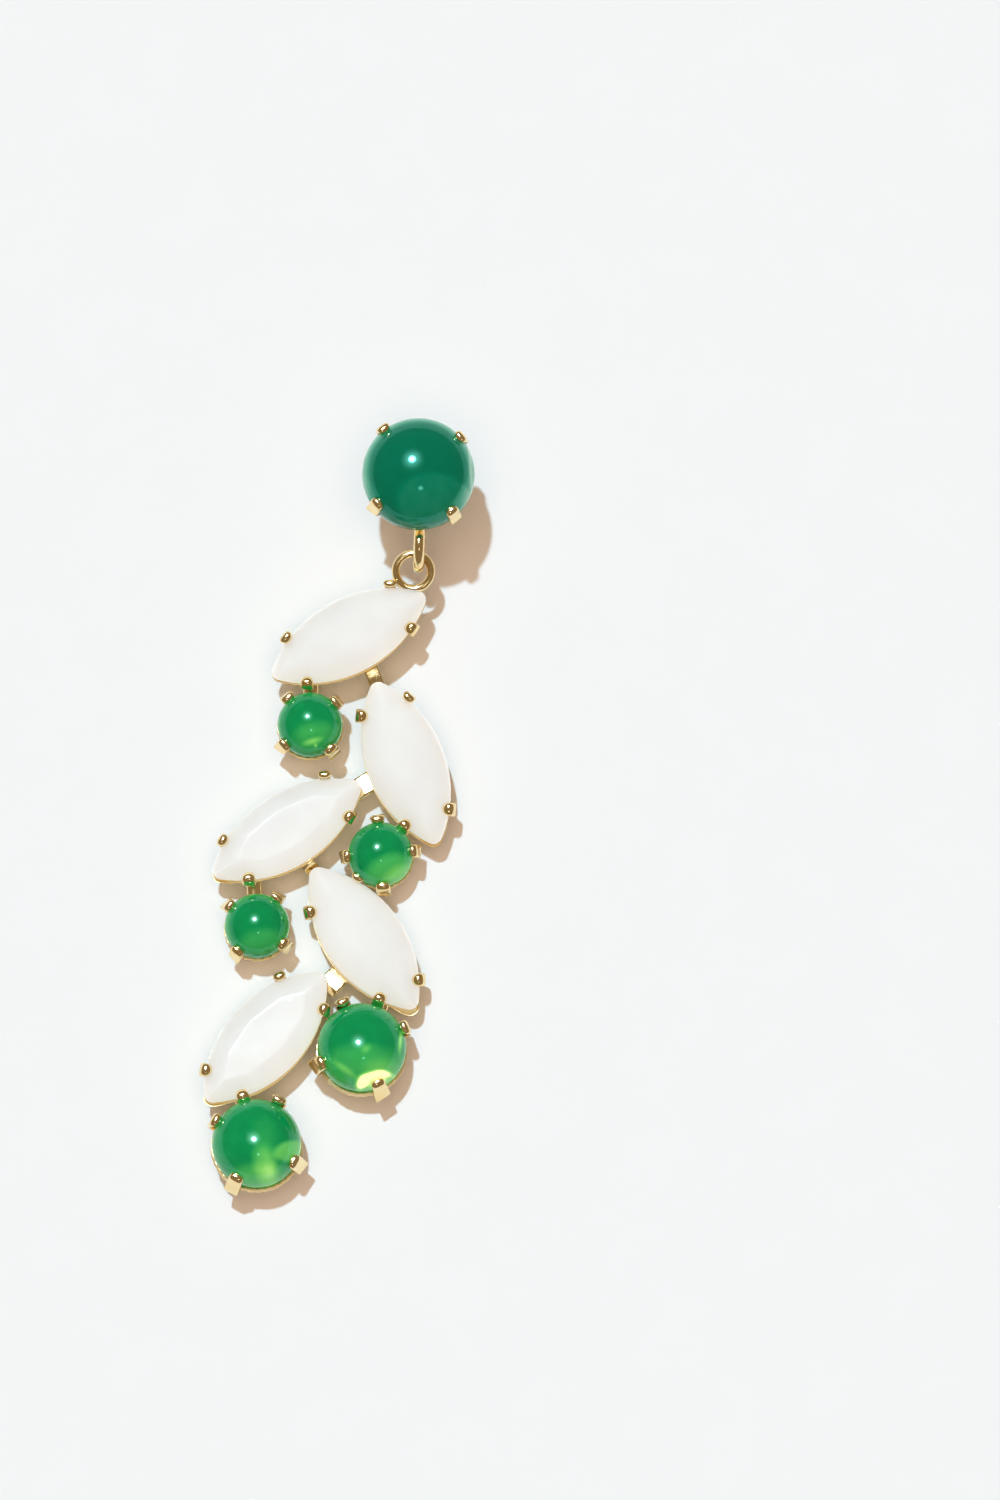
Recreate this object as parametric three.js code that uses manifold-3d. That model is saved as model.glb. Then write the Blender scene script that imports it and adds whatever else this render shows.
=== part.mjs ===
// Statement earring, lying face up: a round green glass top on its ear post, and a drop of five
// white glass navettes and five green glass cabochons that hangs from the top on two linked rings.
// Millimetres, +Z up, +Y from the drop's low end to the top.
import * as THREE from "three";
import { mergeVertices } from "three/addons/utils/BufferGeometryUtils.js";
import Module from "manifold-3d";

const wasm = await Module();
wasm.setup();

// Glass, by cut: half length and half width at the girdle, crown above it, setting depth below it.
const STONE = {
  top: { long: 4.95, wide: 4.95, crown: 3.7, depth: 3.0 },
  medium: { long: 3.92, wide: 3.92, crown: 3.5, depth: 3.0 },
  small: { long: 2.86, wide: 2.86, crown: 2.6, depth: 2.5 },
  navette: { long: 7.58, wide: 3.48, crown: 1.15, depth: 2.7 },
};
const NAVETTE_TIP_RADIUS = 0.8;
const GIRDLE = 0.3;
const DOME_ROWS = [0, 16, 34, 52, 72];

// How far a navette's table and back, and a cabochon's back, draw in from the girdle. The backs are
// small flats at one height above the setting's base.
const NAVETTE_TABLE = { long: -2.7, wide: -1.75 };
const NAVETTE_BACK = { long: -3.2, wide: -2.3 };
const CABOCHON_BACK_SHARE = 0.5;
const BACK_HEIGHT = 0.75;

// Claws, by cut: strip width, how far the bend stands out from the girdle, how far the tip folds
// in over it, and how high the tip stands above it.
const CLAW = {
  top: { width: 0.95, out: 0.55, over: 0.46, height: 2.05 },
  medium: { width: 1.3, out: 0.95, over: 0.26, height: 1.75 },
  small: { width: 1.0, out: 0.72, over: 0.14, height: 1.35 },
  navette: { width: 1.0, out: 0.65, over: 0.35, height: 0.85 },
};
const CLAW_THICK = 0.35;
const CLAW_TIP = { width: 0.32, bevel: 0.08, nose: 0.2, hook: 0.45, undercut: 0.12 };
const CLAW_BEND = { inside: -0.5, low: -0.25, high: 0.12, inset: 0.04, clear: 0.06 };
const CLAW_ROOT = { up: 0.1, out: 0.05 };
const NAVETTE_CLAW_ALONG = 5.2;

// Rims of the cups, by cut: how far out from the girdle and how far below it.
const RIM = {
  top: { out: -0.1, below: 0.75 },
  medium: { out: 0.2, below: 0.5 },
  small: { out: 0.15, below: 0.55 },
  navette: { out: 0.14, below: 0.45 },
};
const LIP = 0.12;
const WALL = 0.34;

// A cup's foot draws in by this share of the stone's half width, and its waist has opened from
// the foot to the rim by this much.
const FOOT_SHARE = 0.36;
const WAIST_OPEN = 0.6;
const GLASS_GAP = 0.12;

// The drop, from its rings down. x and y run from the linked ring's centre, turn is the direction of
// a navette's upper tip or of a cup's first claw, rise is the base's height, pitch and roll tip the
// face about X and Y (no roll where none is given). A cabochon's cup is soldered to the navette
// that it is `on`.
const NAVETTES = [
  { name: "navette_1", cut: "navette", x: -4.11, y: -6.67, turn: 41.2, rise: 1.4, pitch: 6, roll: 0 },
  { name: "navette_2", cut: "navette", x: 3.29, y: -16.34, turn: 124.3, rise: 0.6, pitch: 4, roll: 0 },
  { name: "navette_3", cut: "navette", x: -5.33, y: -24.87, turn: 45.7, rise: 0.3, pitch: -1.2, roll: -1 },
  { name: "navette_4", cut: "navette", x: 3.28, y: -32.42, turn: 139.8, rise: 0.1, pitch: 0, roll: 1 },
  { name: "navette_5", cut: "navette", x: -2.9, y: -43.05, turn: 60.8, rise: 0.3, pitch: -3.3, roll: -2.2 },
];
const CABOCHONS = [
  { name: "cabochon_1", cut: "small", on: 0, x: -5.72, y: -15.07, turn: 53.2, rise: 0.7, pitch: 3 },
  { name: "cabochon_2", cut: "small", on: 1, x: 3.01, y: -24.82, turn: 18.2, rise: 0.25, pitch: 1.5 },
  { name: "cabochon_3", cut: "small", on: 2, x: -6.07, y: -33.54, turn: 68, rise: 0.1, pitch: 0 },
  { name: "cabochon_4", cut: "medium", on: 3, x: 5.43, y: -41.99, turn: 36.9, rise: 0.123, pitch: -2.8 },
  { name: "cabochon_5", cut: "medium", on: 4, x: -1.56, y: -52.32, turn: 75.5, rise: 0.123, pitch: -2.8 },
];

// Flat bars between the navettes, each in line with the lower one, and the solder at the cups.
const BAR = { width: 1.25, thick: 0.5, height: 1.75, into: 0.9 };
const SOLDER = { width: 1.4, thick: 1.0, height: 1.4, into: 0.7 };

const DROP_STONES = [...NAVETTES, ...CABOCHONS];

// The top and the two rings that link it to the drop. The drop's ring lies nearly flat on the first
// setting's rim, and the top's loop stands upright under the cup's edge.
const TOP = { name: "top_cabochon", cut: "top", x: -1.43, y: 7.91, turn: 52.8, rise: 5.4, pitch: -1.5 };
const RING = { radius: 1.56, wire: 0.36, height: 4.72, pitch: 10 };
const LOOP = { radius: 1.9, wire: 0.4, height: 5, y: 2.25, turn: 101.5 };
const LOOP_SOLDER = { radius: 0.55, reach: 0.76, up: 0.35 };
const POST = { radius: 0.45, tip: 0.34, chamfer: 0.4, pad: 2.0, padThick: 0.35 };

const ROUND_SIDES = 20;
const LONG_ARC_STEPS = 8;
const RING_STEPS = 18;
const RING_SIDES = 6;
const POST_SIDES = 12;

const GOLD = { color: "#e3bd73", roughness: 0.18, metalness: 1 };
const WHITE_GLASS = { color: "#f2f0eb", roughness: 0.12, metalness: 0 };
const GREEN_GLASS = { color: "#22964b", roughness: 0.06, metalness: 0 };
const DARK_GREEN_GLASS = { color: "#01704d", roughness: 0.05, metalness: 0 };

const rad = THREE.MathUtils.degToRad;

// ---- outlines ------------------------------------------------------------------------------

/** The circle or marquise of a cut, grown from its girdle by so many mm lengthways and sideways. */
function outline(cut, growLong, growWide = growLong) {
  const long = STONE[cut].long + growLong;
  const wide = STONE[cut].wide + growWide;
  return cut === "navette" ? marquise(long, wide) : circle(long, ROUND_SIDES);
}

function circle(radius, sides) {
  return Array.from({ length: sides }, (_, i) => {
    const angle = (2 * Math.PI * i) / sides;
    return new THREE.Vector2(radius * Math.cos(angle), radius * Math.sin(angle));
  });
}

/** Radius of the long arcs that pass `wide` from the axis and meet in tips of radius `tip`. */
function longArcRadius(long, wide, tip) {
  return ((long - tip) ** 2 + wide ** 2 - tip ** 2) / (2 * (wide - tip));
}

function marquise(long, wide) {
  const tip = (NAVETTE_TIP_RADIUS * wide) / STONE.navette.wide;
  const arc = longArcRadius(long, wide, tip);
  const spread = Math.asin((long - tip) / (arc - tip));
  const half = [new THREE.Vector2(long, 0)];
  for (let i = 0; i <= LONG_ARC_STEPS; i += 1) {
    const angle = spread * (1 - (2 * i) / LONG_ARC_STEPS);
    half.push(new THREE.Vector2(arc * Math.sin(angle), arc * Math.cos(angle) - (arc - wide)));
  }
  return [...half, ...half.map((p) => new THREE.Vector2(-p.x, -p.y))];
}

// ---- closed bodies -------------------------------------------------------------------------

/**
 * A closed body through outlines stacked in `rows` of {cut outline, z}, closed in the middle at the
 * heights `under` and `over`. Rows that turn back down make the inside of a cup.
 */
function stacked(rows, under, over) {
  const sides = rows[0].points.length;
  const position = [0, 0, under];
  rows.forEach((row) => row.points.forEach((p) => position.push(p.x, p.y, row.z)));
  position.push(0, 0, over);
  const last = position.length / 3 - 1;
  const index = [];
  for (let i = 0; i < sides; i += 1) {
    const next = (i + 1) % sides;
    index.push(0, 1 + next, 1 + i);
    for (let k = 0; k < rows.length - 1; k += 1) {
      const low = 1 + k * sides;
      const high = low + sides;
      index.push(low + i, low + next, high + next, low + i, high + next, high + i);
    }
    index.push(last - sides + i, last - sides + next, last);
  }
  const geometry = new THREE.BufferGeometry();
  geometry.setAttribute("position", new THREE.Float32BufferAttribute(position, 3));
  geometry.setIndex(index);
  return geometry;
}

function toSolid(geometry, matrix = new THREE.Matrix4()) {
  const bare = geometry.clone().applyMatrix4(matrix);
  bare.deleteAttribute("normal");
  bare.deleteAttribute("uv");
  const merged = mergeVertices(bare, 1e-5);
  return new wasm.Manifold(
    new wasm.Mesh({
      numProp: 3,
      vertProperties: new Float32Array(merged.attributes.position.array),
      triVerts: new Uint32Array(merged.index.array),
    }),
  );
}

function toGeometry(solid) {
  const mesh = solid.getMesh();
  const geometry = new THREE.BufferGeometry();
  geometry.setAttribute("position", new THREE.Float32BufferAttribute(mesh.vertProperties, 3));
  geometry.setIndex(Array.from(mesh.triVerts));
  geometry.computeVertexNormals();
  return geometry;
}

// ---- glass: z = 0 at the girdle --------------------------------------------------------------

/** A cabochon: a high dome over a back that narrows to a small flat. */
function cabochonGlass(cut, grow = 0) {
  const { long, crown, depth } = STONE[cut];
  const backInset = grow - CABOCHON_BACK_SHARE * long;
  const back = { points: outline(cut, backInset), z: BACK_HEIGHT - depth - grow };
  const belt = { points: outline(cut, grow), z: -GIRDLE - grow };
  const dome = DOME_ROWS.map((degrees) => {
    const radius = (long + grow) * Math.cos(rad(degrees));
    return { points: circle(radius, ROUND_SIDES), z: (crown + grow) * Math.sin(rad(degrees)) };
  });
  return stacked([back, belt, ...dome], back.z, crown + grow);
}

/** A navette: a flat table over slanting crown sides, and a keel of a back below the girdle. */
function navetteGlass(grow = 0) {
  const { crown, depth } = STONE.navette;
  const level = (inset, z) => ({ points: outline("navette", grow + inset.long, grow + inset.wide), z });
  const edge = { long: 0, wide: 0 };
  const rows = [
    level(NAVETTE_BACK, BACK_HEIGHT - depth - grow),
    level(edge, -GIRDLE / 2 - grow),
    level(edge, (GIRDLE + grow) / 2),
    level(NAVETTE_TABLE, crown + grow),
  ];
  return stacked(rows, rows[0].z, crown + grow);
}

function glass(cut, grow = 0) {
  return cut === "navette" ? navetteGlass(grow) : cabochonGlass(cut, grow);
}

// ---- settings: z = 0 at the base -------------------------------------------------------------

/** How far a cup's outside stands out from the girdle at its foot, halfway up and at its rim. */
function cupProfile(cut) {
  const foot = -FOOT_SHARE * STONE[cut].wide;
  const rim = RIM[cut].out;
  return { foot, waist: THREE.MathUtils.lerp(foot, rim, WAIST_OPEN), rim };
}

/** The thin cup under a stone, from a small flat base up to a rim just below the girdle. */
function cup(cut) {
  const { depth } = STONE[cut];
  const { foot, waist, rim } = cupProfile(cut);
  const top = depth - RIM[cut].below;
  const rows = [
    { points: outline(cut, foot), z: 0 },
    { points: outline(cut, waist), z: 0.5 * depth },
    { points: outline(cut, rim), z: top },
    { points: outline(cut, rim - LIP), z: top },
    { points: outline(cut, waist - WALL), z: 0.5 * depth },
    { points: outline(cut, foot - WALL), z: WALL },
  ];
  return stacked(rows, 0, WALL);
}

/** A claw's side view, from the cup's waist: u runs out from the girdle, v up from it. */
function clawShape(cut) {
  const { out, over, height } = CLAW[cut];
  const { width, bevel, nose, hook, undercut } = CLAW_TIP;
  const { waist } = cupProfile(cut);
  const root = -0.5 * STONE[cut].depth;
  return new THREE.Shape([
    new THREE.Vector2(waist - WALL / 2, root + CLAW_ROOT.up),
    new THREE.Vector2(waist + CLAW_ROOT.out, root - CLAW_ROOT.up),
    new THREE.Vector2(out, CLAW_BEND.low),
    new THREE.Vector2(out - CLAW_BEND.inset, CLAW_BEND.high),
    new THREE.Vector2(width - over, height),
    new THREE.Vector2(bevel - over, height),
    new THREE.Vector2(-over, height - nose),
    new THREE.Vector2(undercut - over, height - hook),
    new THREE.Vector2(out - CLAW_THICK, 0),
    new THREE.Vector2(GLASS_GAP + CLAW_BEND.clear, CLAW_BEND.inside),
  ]);
}

/** Where a cut's four claws stand: a point on the girdle and the direction out of it. */
function clawPlaces(cut) {
  if (cut !== "navette") {
    return [0, 90, 180, 270].map((degrees) => {
      const angle = rad(degrees);
      const { long } = STONE[cut];
      return { x: long * Math.cos(angle), y: long * Math.sin(angle), angle };
    });
  }
  const { long, wide } = STONE.navette;
  const arc = longArcRadius(long, wide, NAVETTE_TIP_RADIUS);
  const lean = Math.asin(NAVETTE_CLAW_ALONG / arc);
  const y = arc * Math.cos(lean) - (arc - wide);
  return [
    { x: NAVETTE_CLAW_ALONG, y, angle: Math.PI / 2 - lean },
    { x: -NAVETTE_CLAW_ALONG, y, angle: Math.PI / 2 + lean },
    { x: -NAVETTE_CLAW_ALONG, y: -y, angle: -Math.PI / 2 - lean },
    { x: NAVETTE_CLAW_ALONG, y: -y, angle: -Math.PI / 2 + lean },
  ];
}

function claw(cut, place) {
  const { width } = CLAW[cut];
  const strip = new THREE.ExtrudeGeometry(clawShape(cut), { depth: width, bevelEnabled: false });
  strip.translate(0, 0, -width / 2);
  strip.rotateX(Math.PI / 2);
  strip.rotateZ(place.angle);
  strip.translate(place.x, place.y, STONE[cut].depth);
  return strip;
}

/** A setting in its place in the earring: the cup and its four claws, as one solid. */
function setting(row) {
  const place = placeOf(row);
  return clawPlaces(row.cut).reduce(
    (metal, at) => metal.add(toSolid(claw(row.cut, at), place)),
    toSolid(cup(row.cut), place),
  );
}

/** The room that a stone needs in the metal around it. */
function seat(row) {
  return toSolid(glass(row.cut, GLASS_GAP), girdlePlace(row));
}

// ---- places ----------------------------------------------------------------------------------

function placeOf({ x, y, turn, rise, pitch, roll = 0 }) {
  return new THREE.Matrix4()
    .makeTranslation(x, y, rise)
    .multiply(new THREE.Matrix4().makeRotationX(rad(pitch)))
    .multiply(new THREE.Matrix4().makeRotationY(rad(roll)))
    .multiply(new THREE.Matrix4().makeRotationZ(rad(turn)));
}

/** The nearest way from a point to a navette's long edge: the direction there and the distance. */
function wayToNavette(navette, x, y) {
  const { long, wide } = STONE.navette;
  const arc = longArcRadius(long, wide, NAVETTE_TIP_RADIUS);
  const axis = new THREE.Vector2(Math.cos(rad(navette.turn)), Math.sin(rad(navette.turn)));
  const side = new THREE.Vector2(-axis.y, axis.x);
  const from = new THREE.Vector2(x - navette.x, y - navette.y);
  const centre = side.clone().multiplyScalar(-Math.sign(from.dot(side)) * (arc - wide));
  const way = centre.sub(from);
  return { angle: way.angle(), distance: way.length() - arc };
}

/** A flat strip lying at `height` from `start` mm to `end` mm along a direction from a point. */
function strip({ x, y, angle, start, end, width, thick, height }) {
  const box = new THREE.BoxGeometry(end - start, width, thick);
  box.translate((start + end) / 2, 0, 0);
  box.rotateZ(angle);
  box.translate(x, y, height);
  return box;
}

/** The bar from a navette's upper tip to the long edge of the navette above it. */
function bar(upper, lower) {
  const angle = rad(lower.turn);
  const x = lower.x + STONE.navette.long * Math.cos(angle);
  const y = lower.y + STONE.navette.long * Math.sin(angle);
  const gap = wayToNavette(upper, x, y).distance;
  const height = BAR.height + (upper.rise + lower.rise) / 2;
  return strip({ ...BAR, x, y, angle, start: -BAR.into, end: gap + BAR.into, height });
}

/** The solder that joins a cabochon's cup to its navette's. */
function solder(cabochon) {
  const way = wayToNavette(NAVETTES[cabochon.on], cabochon.x, cabochon.y);
  const start = STONE[cabochon.cut].long - SOLDER.into;
  const height = SOLDER.height + cabochon.rise;
  const { x, y } = cabochon;
  return strip({ ...SOLDER, x, y, angle: way.angle, start, end: way.distance + SOLDER.into, height });
}

function ringGeometry({ radius, wire }) {
  return new THREE.TorusGeometry(radius, wire, RING_SIDES, RING_STEPS);
}

// ---- the soldered metal ------------------------------------------------------------------------

function dropSetting() {
  const ring = ringGeometry(RING);
  ring.rotateX(rad(RING.pitch));
  ring.translate(0, 0, RING.height);
  const bars = NAVETTES.slice(1).map((lower, i) => toSolid(bar(NAVETTES[i], lower)));
  const joints = CABOCHONS.map((row) => toSolid(solder(row)));
  const metal = [...DROP_STONES.map(setting), ...bars, ...joints].reduce(
    (sum, solid) => sum.add(solid),
    toSolid(ring),
  );
  return DROP_STONES.reduce((rest, row) => rest.subtract(seat(row)), metal);
}

function topSetting() {
  const loop = ringGeometry(LOOP);
  loop.rotateX(Math.PI / 2);
  loop.rotateZ(rad(LOOP.turn));
  loop.translate(0, LOOP.y, LOOP.height);
  const joint = new THREE.SphereGeometry(LOOP_SOLDER.radius, RING_SIDES, RING_SIDES);
  const reach = STONE.top.long * LOOP_SOLDER.reach;
  const toLoop = rad(LOOP.turn) + Math.PI;
  const height = TOP.rise + LOOP_SOLDER.up;
  joint.translate(TOP.x + reach * Math.cos(toLoop), TOP.y + reach * Math.sin(toLoop), height);
  return [loop, joint, earPost()]
    .reduce((metal, geometry) => metal.add(toSolid(geometry)), setting(TOP))
    .subtract(seat(TOP));
}

/** A straight post with a chamfered end, under a round pad on the back of the cup. */
function earPost() {
  const { radius, tip, chamfer, pad, padThick } = POST;
  const rows = [
    { points: circle(tip, POST_SIDES), z: 0 },
    { points: circle(radius, POST_SIDES), z: chamfer },
    { points: circle(radius, POST_SIDES), z: TOP.rise - padThick },
    { points: circle(pad, POST_SIDES), z: TOP.rise - padThick },
    { points: circle(pad, POST_SIDES), z: TOP.rise + WALL / 2 },
  ];
  return stacked(rows, 0, TOP.rise + WALL / 2).translate(TOP.x, TOP.y, 0);
}

function girdlePlace(row) {
  return placeOf(row).multiply(new THREE.Matrix4().makeTranslation(0, 0, STONE[row.cut].depth));
}

// ---- assembly ----------------------------------------------------------------------------------

function piece(name, geometry, finish) {
  const mesh = new THREE.Mesh(geometry, new THREE.MeshStandardMaterial(finish));
  mesh.name = name;
  return mesh;
}

function stonePiece(row, finish) {
  const mesh = piece(row.name, glass(row.cut), finish);
  girdlePlace(row).decompose(mesh.position, mesh.quaternion, mesh.scale);
  return mesh;
}

const top = new THREE.Group();
top.add(piece("top_setting", toGeometry(topSetting()), GOLD));
top.add(stonePiece(TOP, DARK_GREEN_GLASS));

const drop = new THREE.Group();
drop.add(piece("drop_setting", toGeometry(dropSetting()), GOLD));
NAVETTES.forEach((row) => drop.add(stonePiece(row, WHITE_GLASS)));
CABOCHONS.forEach((row) => drop.add(stonePiece(row, GREEN_GLASS)));

// The origin is under the middle of the whole earring, on the surface that it lies on.
const earring = new THREE.Group();
earring.add(top, drop);
const box = new THREE.Box3().setFromObject(earring, true);
const middle = box.getCenter(new THREE.Vector3());
earring.position.set(-middle.x, -middle.y, -box.min.z);

export default earring;
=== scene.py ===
import math
import random

import bpy
import numpy as np
from mathutils import Matrix, Vector


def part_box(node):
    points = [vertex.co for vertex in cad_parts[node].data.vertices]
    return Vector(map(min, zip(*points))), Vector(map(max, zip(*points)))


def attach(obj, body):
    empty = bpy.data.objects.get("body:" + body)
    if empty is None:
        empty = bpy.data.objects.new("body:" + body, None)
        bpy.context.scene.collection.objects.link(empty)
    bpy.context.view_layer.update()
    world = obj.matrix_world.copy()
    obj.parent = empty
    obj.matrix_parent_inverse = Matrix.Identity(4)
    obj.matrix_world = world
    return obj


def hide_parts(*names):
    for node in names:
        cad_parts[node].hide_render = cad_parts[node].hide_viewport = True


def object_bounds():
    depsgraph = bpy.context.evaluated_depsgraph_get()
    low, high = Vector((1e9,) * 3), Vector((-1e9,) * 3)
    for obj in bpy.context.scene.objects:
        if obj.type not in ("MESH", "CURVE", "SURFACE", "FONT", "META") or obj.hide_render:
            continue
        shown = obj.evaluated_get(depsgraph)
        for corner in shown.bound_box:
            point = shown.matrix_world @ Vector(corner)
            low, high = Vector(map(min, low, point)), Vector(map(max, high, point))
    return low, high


# A drop earring with a stud top, lying on a white board. Lengths are in millimetres and angles in
# degrees, until a mesh is placed.

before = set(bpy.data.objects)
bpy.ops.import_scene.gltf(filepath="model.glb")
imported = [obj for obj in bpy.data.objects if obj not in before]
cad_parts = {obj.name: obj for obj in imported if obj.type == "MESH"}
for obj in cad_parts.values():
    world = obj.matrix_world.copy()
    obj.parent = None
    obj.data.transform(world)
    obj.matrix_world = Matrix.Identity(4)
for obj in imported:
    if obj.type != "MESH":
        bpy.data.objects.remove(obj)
cad_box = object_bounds()

MM = 0.001

# ---- sizes --------------------------------------------------------------------------------------

# Stones, by cut: half length and half width of the girdle, dome or table height, depth below.
STONE = {
    "top": {"long": 4.95, "wide": 4.95, "crown": 3.7, "depth": 3.0},
    "medium": {"long": 3.92, "wide": 3.92, "crown": 3.5, "depth": 3.0},
    "small": {"long": 2.86, "wide": 2.86, "crown": 2.6, "depth": 2.5},
    "navette": {"long": 7.58, "wide": 3.48, "crown": 1.15, "depth": 2.7},
}
NAVETTE_TIP_RADIUS = 0.8
GIRDLE = 0.3

# The stones' flat backs: their height above the cup's base, a cabochon's radius as a share of its
# girdle's, and how much smaller a navette's is than its girdle.
BACK_HEIGHT = 0.75
CABOCHON_BACK_SHARE = 0.5
NAVETTE_BACK = {"long": -3.2, "wide": -2.3}

# Claws, by cut: plate width, how far the knee stands out from the girdle, how far the round end
# reaches in over it, and the end's height, width and thickness. Low is how much further the claws on
# the drop's low side are pressed out and in, high how much less the ends on its high side reach in,
# and flat how much flatter those are. CLAW_PLATE is the thickness of every claw's plate, and VARIED is
# how much the claws differ one by one: shares of the plate's width, the end's width and the low side's
# push, how far the end reaches in, and the slant of the plate.
CLAW = {
    "top": {
        "width": 1.12, "out": 0.38, "over": 0.56, "height": 2.0, "bead": 1.2, "end": 0.68,
        "low": 0.06, "high": 0.06, "flat": 0.1,
    },
    "medium": {
        "width": 1.4, "out": 0.74, "over": 0.36, "height": 1.75, "bead": 1.34, "end": 0.72,
        "low": 0.24, "high": 0.1, "flat": 0.2,
    },
    "small": {
        "width": 1.15, "out": 0.72, "over": 0.26, "height": 1.35, "bead": 1.28, "end": 0.68,
        "low": 0.06, "high": 0.06, "flat": 0.15,
    },
    "navette": {
        "width": 1.05, "out": 0.52, "over": 0.3, "height": 0.85, "bead": 1.24, "end": 0.82,
        "low": 0.05, "high": 0.28, "flat": 0.3,
    },
}
CLAW_PLATE = 0.3
VARIED = {
    "width": (0.92, 1.08), "bead": (0.94, 1.04), "push": (0.8, 1.2), "over": (-0.06, 0.06),
    "slant": (-0.4, 0.4),
}

# Rims of the cups, by cut: how far out from the girdle and how far below it, how far the edge dips
# between the claws, how far it sits towards the low side, its milled teeth, and its lip's width,
# its slope, and how far it is rolled up to the stone on the low side.
RIM = {
    "top": {
        "out": -0.1, "below": 0.75, "dip": 0.1, "low": 0.0, "teeth": 0, "lip": 0.12, "slope": 0.2,
        "roll": 0.0,
    },
    "medium": {
        "out": 0.1, "below": 0.42, "dip": 0.06, "low": 0.27, "teeth": 36, "lip": 0.27, "slope": 0.0,
        "roll": 0.42,
    },
    "small": {
        "out": 0.08, "below": 0.55, "dip": 0.06, "low": 0.14, "teeth": 24, "lip": 0.2, "slope": 0.1,
        "roll": 0.25,
    },
    "navette": {
        "out": 0.03, "below": 0.42, "dip": 0.1, "low": 0.16, "teeth": 0, "lip": 0.14, "slope": 0.2,
        "roll": 0.0,
    },
}
TOOTH = 0.035

# Of every cup: its wall, how far its foot stands in as a share of the girdle's half width, how much of
# the way out it has opened halfway up, how far it swells below that, how far in its base and its floor
# run level, the rounding of its corners, how far under its edge the rim starts, and the height and
# number of the ripples along its edge. The edge dips from the first to the second CLEAR_OF_CLAW
# distance from a claw's middle, in shares of the claw's width.
WALL = 0.34
FOOT_SHARE = 0.36
WAIST_OPEN = 0.6
BELLY = 0.08
LEVEL = {"base": 0.5, "floor": 0.4}
CORNER = 0.06
RIM_START = 0.2
RIPPLE = 0.03
RIPPLES = 12
CLEAR_OF_CLAW = (0.35, 2.4)

# How far under a cup's edge its metal starts to look satin, and is so all over.
SATIN_LIP = (0.35, 0.05)

# x and y run from the linked ring's centre, turn is the direction of a navette's upper tip or of a
# cup's first claw, rise is the base's height, pitch and roll tip the face about X and Y. Of a
# navette, tip is how far the cup's edge flares at the low tip, between the two TIP_FLARE distances from
# its middle, polish is how its glass came out, claws are how far along the axis its claws stand, and
# slim is its width's share of the usual.
NAVETTES = [
    {
        "name": "navette_1", "x": -4.22, "y": -6.54, "turn": 41.2, "rise": 1.4, "pitch": 6, "roll": 0,
        "tip": 0, "polish": "satin", "claws": (5.2, -4.85, -5.2, 5.2), "slim": 0.951,
    },
    {
        "name": "navette_2", "x": 3.29, "y": -16.34, "turn": 124.3, "rise": 0.6, "pitch": 4, "roll": 0,
        "tip": 0.06, "polish": "satin", "claws": (5.2, -5.2, -5.2, 5.2), "slim": 1,
    },
    {
        "name": "navette_3", "x": -5.46, "y": -24.74, "turn": 45.7, "rise": 0.3, "pitch": -1.2, "roll": -1,
        "tip": 0.12, "polish": "silky", "claws": (5.2, -5.2, -5.2, 5.2), "slim": 0.946,
    },
    {
        "name": "navette_4", "x": 3.28, "y": -32.42, "turn": 139.8, "rise": 0.1, "pitch": 0, "roll": 1,
        "tip": 0.34, "polish": "satin", "claws": (4.6, -5.2, -5.85, 4.5), "slim": 1,
    },
    {
        "name": "navette_5", "x": -2.9, "y": -43.05, "turn": 60.8, "rise": 0.3, "pitch": -3.3, "roll": -2.2,
        "tip": 0.14, "polish": "bright", "claws": (4.6, -5.7, -5.2, 5.2), "slim": 1,
    },
]
TIP_FLARE = (6.0, 7.3)

# On is the place in NAVETTES of the navette that a cabochon's cup is soldered to.
CABOCHONS = [
    {
        "name": "cabochon_1", "cut": "small", "on": 0, "x": -5.72, "y": -15.07, "turn": 53.2,
        "rise": 0.7, "pitch": 3,
    },
    {
        "name": "cabochon_2", "cut": "small", "on": 1, "x": 3.01, "y": -24.82, "turn": 18.2,
        "rise": 0.25, "pitch": 1.5,
    },
    {
        "name": "cabochon_3", "cut": "small", "on": 2, "x": -6.07, "y": -33.54, "turn": 68,
        "rise": 0.1, "pitch": 0,
    },
    {
        "name": "cabochon_4", "cut": "medium", "on": 3, "x": 5.43, "y": -41.99, "turn": 36.9,
        "rise": 0.123, "pitch": -2.8,
    },
    {
        "name": "cabochon_5", "cut": "medium", "on": 4, "x": -1.56, "y": -52.32, "turn": 75.5,
        "rise": 0.123, "pitch": -2.8,
    },
]
TOP = {
    "name": "top_cabochon", "cut": "top", "x": -1.43, "y": 7.91, "turn": 52.8, "rise": 5.4, "pitch": -1.5,
}

# The two linked rings: the radius to the middle of the wire, the wire's own radius, and where they are.
RING = {"radius": 1.56, "wire": 0.36, "height": 4.72, "pitch": 10}
LOOP = {"radius": 1.9, "wire": 0.5, "height": 5.0, "y": 2.25, "turn": 101.5}

# The ear post: its radius and that of its end, the chamfer's length, its pad's radius and thickness,
# the rounding of the corners, and how far the pad reaches into the cup.
POST = {
    "radius": 0.45, "tip": 0.34, "chamfer": 0.4, "pad": 2.0, "pad_thick": 0.35, "corner": 0.05, "into": 0.1,
}

# Bars and solder reach `into` the cups at both ends. A bar's end below the fold lies lower by its slope
# times `sinks`, and `turn` is the length that goes into the fold.
BAR = {"thick": 0.5, "height": 1.75, "into": 0.9, "sinks": 1.1, "turn": 0.12}
SOLDER = {"width": 1.4, "thick": 1.0, "height": 1.4, "into": 0.7, "square": 2.5, "corner": 0.1}

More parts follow.
